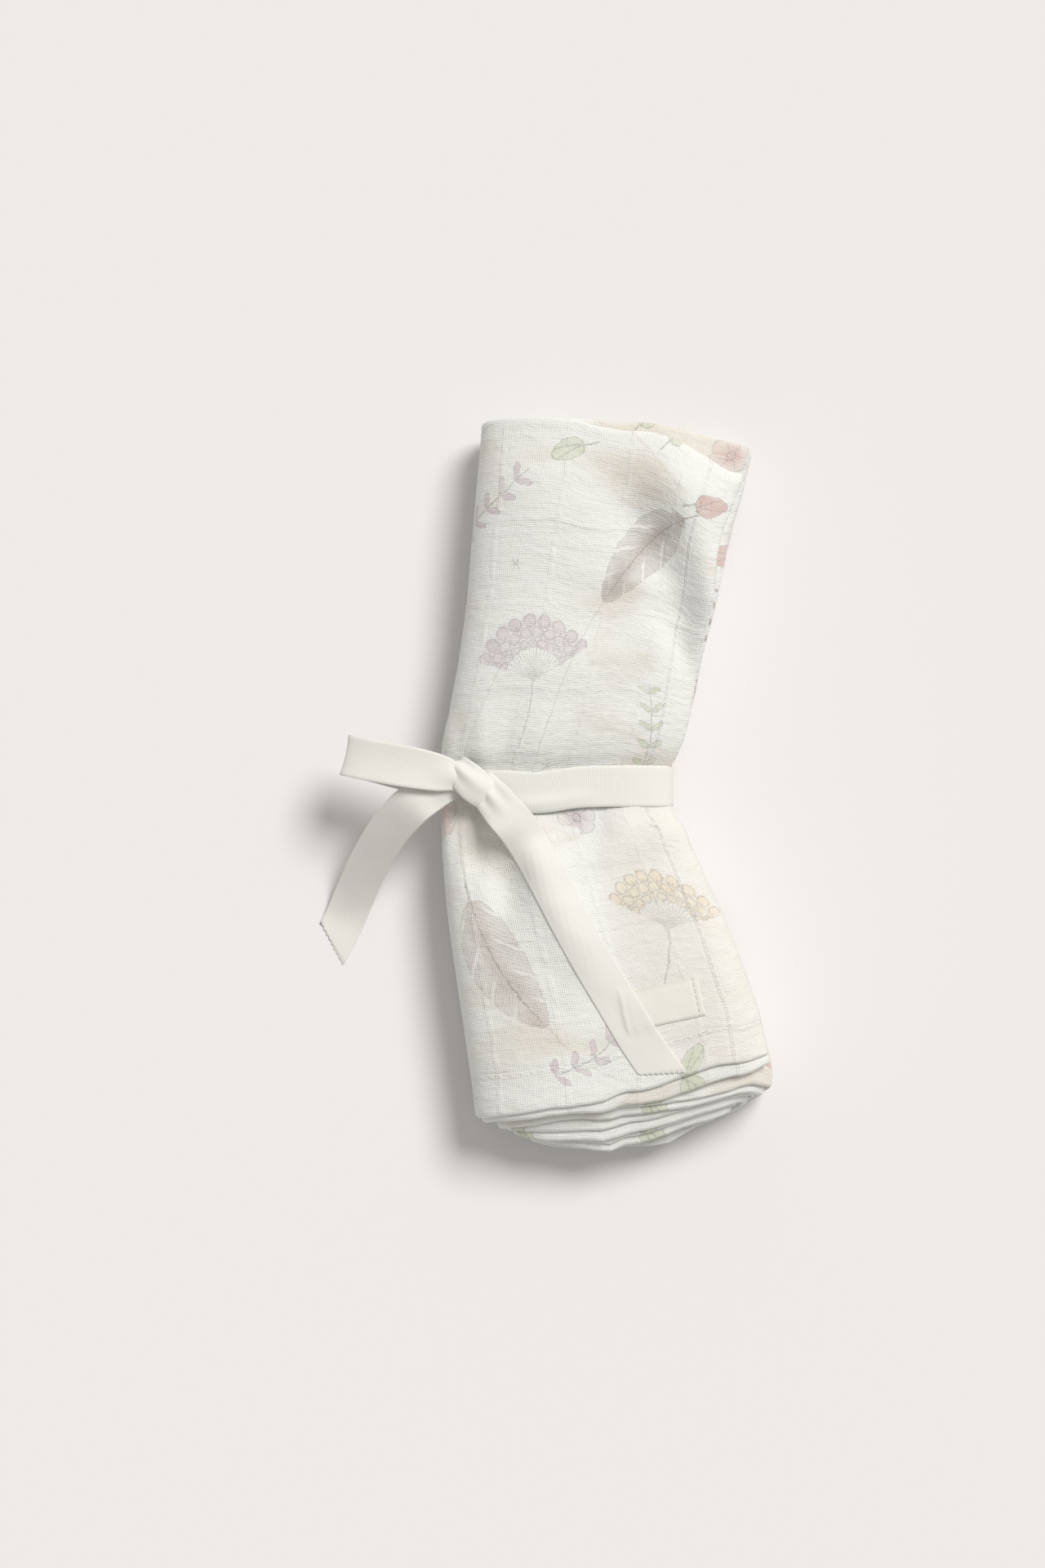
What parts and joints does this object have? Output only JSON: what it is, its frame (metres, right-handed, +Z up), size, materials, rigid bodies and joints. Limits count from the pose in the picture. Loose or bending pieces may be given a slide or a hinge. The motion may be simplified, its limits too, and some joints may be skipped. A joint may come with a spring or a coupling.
{
  "type": "rolled swaddle blanket",
  "caption": "Folded muslin baby blanket, rolled flat and tied round its waist with a ribbon that has a loop and loose tails",
  "frame": {"origin": "the middle of the bounding box, on the surface that the roll rests on", "axes": "+Z up, Y along the roll with the foot, whose edges step out, at -Y and the head at +Y; the loop and the short tail are at -X"},
  "size_m": [0.146, 0.2304, 0.0433],
  "materials": {
    "muslin": "matt double gauze with a faded print",
    "ribbon": "fine cross ribs",
    "label": "close weave"
  },
  "bodies": {
    "root": {"blanket_roll": "muslin", "ribbon_tie": "ribbon", "sewn_label": "label"}
  },
  "joints": []
}
